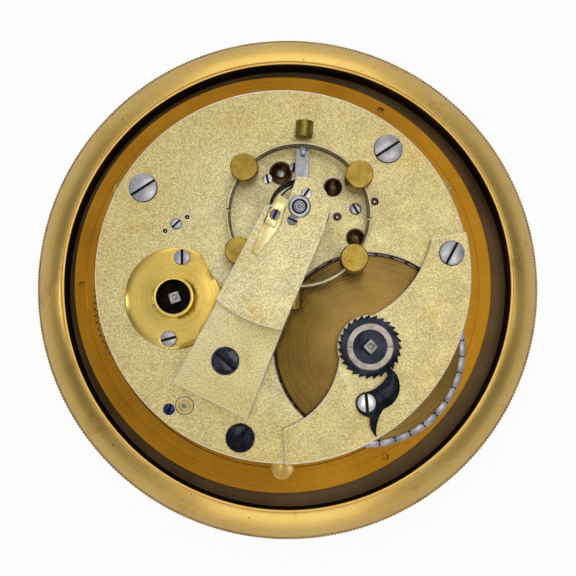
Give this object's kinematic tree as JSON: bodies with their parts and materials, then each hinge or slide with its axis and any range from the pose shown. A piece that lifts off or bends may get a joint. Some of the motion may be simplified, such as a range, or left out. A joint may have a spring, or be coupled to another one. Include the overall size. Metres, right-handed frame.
{
  "type": "marine chronometer movement",
  "caption": "Marine chronometer movement resting dial down in its glazed bezel, with fusee and chain, balance under its cock, detent escapement and hands.",
  "frame": {"origin": "centre of the bezel's front face, on the bezel's axis, at the lowest face of the part as it lies dial down", "axes": "+Z from the dial to the back of the movement, +Y up in the picture, which is 30 degrees off the dial's own twelve to six line"},
  "size_m": [0.1244, 0.1244, 0.0618],
  "materials": {
    "bezel_brass": "satin, turned",
    "gilt_plate": "frosted pale gilt",
    "orange_brass": "lacquered, turned",
    "polished_brass": "polished",
    "wheel_brass": "gilt",
    "barrel_brass": "turned, circular grain",
    "polished_steel": "polished",
    "grey_steel": "grained",
    "blued_steel": "blued and polished",
    "black_steel": "black polished",
    "spring_steel": "blued",
    "glass": "clear",
    "dial_silver": "matt silvered with black figures",
    "hand_gold": "polished gold"
  },
  "bodies": {
    "movement": {"bezel_ring": "bezel_brass", "bezel_glass": "glass", "glass_retaining_ring": "polished_brass", "movement_ring": "orange_brass", "pillar_plate": "orange_brass", "pillars": "polished_brass", "dog_screws": "polished_brass", "top_plate": "gilt_plate", "pillar_screws": "polished_steel", "barrel_bridge": "gilt_plate", "steady_pins": "polished_brass", "plate_bushes": "polished_brass", "jewel_setting_screws": "polished_steel", "small_plate_screws": "polished_steel", "balance_cock": "gilt_plate", "balance_cock_screw": "blued_steel", "cock_jewel_setting": "polished_steel", "spring_stud": "polished_brass", "spring_stud_screw": "polished_steel", "fusee_cap": "polished_brass", "click_screw": "polished_steel", "fusee_chain": "grey_steel", "dial": "dial_silver", "dial_screws": "polished_steel", "helical_spring": "spring_steel", "potence": "gilt_plate", "detent_foot": "polished_brass"},
    "centre_train": {"centre_wheel": "wheel_brass", "centre_arbor": "grey_steel", "cannon_pinion": "grey_steel", "minute_hand": "hand_gold"},
    "fusee": {"fusee_cone": "wheel_brass", "fusee_arbor": "grey_steel", "great_wheel": "wheel_brass", "maintaining_ratchet": "grey_steel"},
    "barrel": {"barrel_drum": "barrel_brass", "barrel_cover": "barrel_brass", "mainspring": "spring_steel"},
    "third_train": {"third_wheel": "wheel_brass", "third_arbor": "grey_steel"},
    "fourth_train": {"fourth_wheel": "wheel_brass", "fourth_arbor": "grey_steel", "seconds_hand": "blued_steel"},
    "escape_train": {"escape_wheel": "wheel_brass", "escape_arbor": "grey_steel"},
    "minute_work": {"minute_wheel": "wheel_brass"},
    "hour_work": {"hour_wheel": "wheel_brass", "hour_hand": "hand_gold"},
    "up_down": {"up_down_wheel": "wheel_brass", "up_down_hand": "blued_steel"},
    "barrel_ratchet": {"barrel_arbor": "grey_steel", "ratchet_wheel": "black_steel", "ratchet_collar": "grey_steel"},
    "ratchet_click": {"click": "black_steel"},
    "balance": {"balance_wheel": "grey_steel", "balance_weights": "polished_brass", "balance_staff": "grey_steel", "balance_rollers": "grey_steel"},
    "detent": {"detent_blade": "grey_steel"},
    "maintaining_click": {"maintaining_detent": "grey_steel"}
  },
  "joints": [
    {"name": "centre_spin", "type": "hinge", "parent": "movement", "child": "centre_train", "pos_m": [-0.0012, 0.0006, 0.03], "axis": [0, 0, 1], "continuous": true},
    {"name": "fusee_spin", "type": "hinge", "parent": "movement", "child": "fusee", "pos_m": [-0.0249, -0.0046, 0.03], "axis": [0, 0, 1], "continuous": true},
    {"name": "barrel_spin", "type": "hinge", "parent": "movement", "child": "barrel", "pos_m": [0.018, -0.0155, 0.03], "axis": [0, 0, 1], "continuous": true},
    {"name": "third_spin", "type": "hinge", "parent": "movement", "child": "third_train", "pos_m": [0.0152, 0.0089, 0.03], "axis": [0, 0, 1], "continuous": true},
    {"name": "fourth_spin", "type": "hinge", "parent": "movement", "child": "fourth_train", "pos_m": [0.0102, 0.0203, 0.03], "axis": [0, 0, 1], "continuous": true},
    {"name": "escape_spin", "type": "hinge", "parent": "movement", "child": "escape_train", "pos_m": [-0.0015, 0.0235, 0.03], "axis": [0, 0, 1], "continuous": true},
    {"name": "minute_wheel_spin", "type": "hinge", "parent": "movement", "child": "minute_work", "pos_m": [-0.006, 0.0089, 0.03], "axis": [0, 0, 1], "continuous": true},
    {"name": "hour_spin", "type": "hinge", "parent": "movement", "child": "hour_work", "pos_m": [-0.0012, 0.0006, 0.03], "axis": [0, 0, 1], "continuous": true},
    {"name": "up_down_spin", "type": "hinge", "parent": "movement", "child": "up_down", "pos_m": [-0.0124, -0.0192, 0.03], "axis": [0, 0, 1], "continuous": true},
    {"name": "balance_swing", "type": "hinge", "parent": "movement", "child": "balance", "pos_m": [0.0025, 0.0135, 0.03], "axis": [0, 0, 1], "range_deg": [-220, 220], "stiffness_Nm_per_rad": 0.00038},
    {"name": "ratchet_turn", "type": "hinge", "parent": "movement", "child": "barrel_ratchet", "pos_m": [0.018, -0.0155, 0.03], "axis": [0, 0, 1], "range_deg": [0, 12]},
    {"name": "click_lift", "type": "hinge", "parent": "movement", "child": "ratchet_click", "pos_m": [0.0172, -0.0277, 0.03], "axis": [0, 0, 1], "range_deg": [-6, 0]},
    {"name": "detent_lift", "type": "hinge", "parent": "movement", "child": "detent", "pos_m": [-0.0202, 0.0136, 0.03], "axis": [0, 0, 1], "range_deg": [-1.5, 0], "stiffness_Nm_per_rad": 0.002},
    {"name": "maintaining_detent_lift", "type": "hinge", "parent": "movement", "child": "maintaining_click", "pos_m": [-0.02285, -0.02845, 0.03], "axis": [0, 0, 1], "range_deg": [0, 6], "stiffness_Nm_per_rad": 0.001}
  ],
  "couplings": [
    {"joint": "fusee_spin", "follows": "centre_spin", "ratio": -0.14286},
    {"joint": "barrel_spin", "follows": "centre_spin", "ratio": -0.088571},
    {"joint": "third_spin", "follows": "centre_spin", "ratio": -7.5},
    {"joint": "fourth_spin", "follows": "centre_spin", "ratio": 60},
    {"joint": "escape_spin", "follows": "centre_spin", "ratio": -480},
    {"joint": "minute_wheel_spin", "follows": "centre_spin", "ratio": -0.33333},
    {"joint": "hour_spin", "follows": "centre_spin", "ratio": 0.083333},
    {"joint": "up_down_spin", "follows": "centre_spin", "ratio": 0.015873},
    {"joint": "click_lift", "follows": "ratchet_turn", "ratio": -0.45}
  ]
}
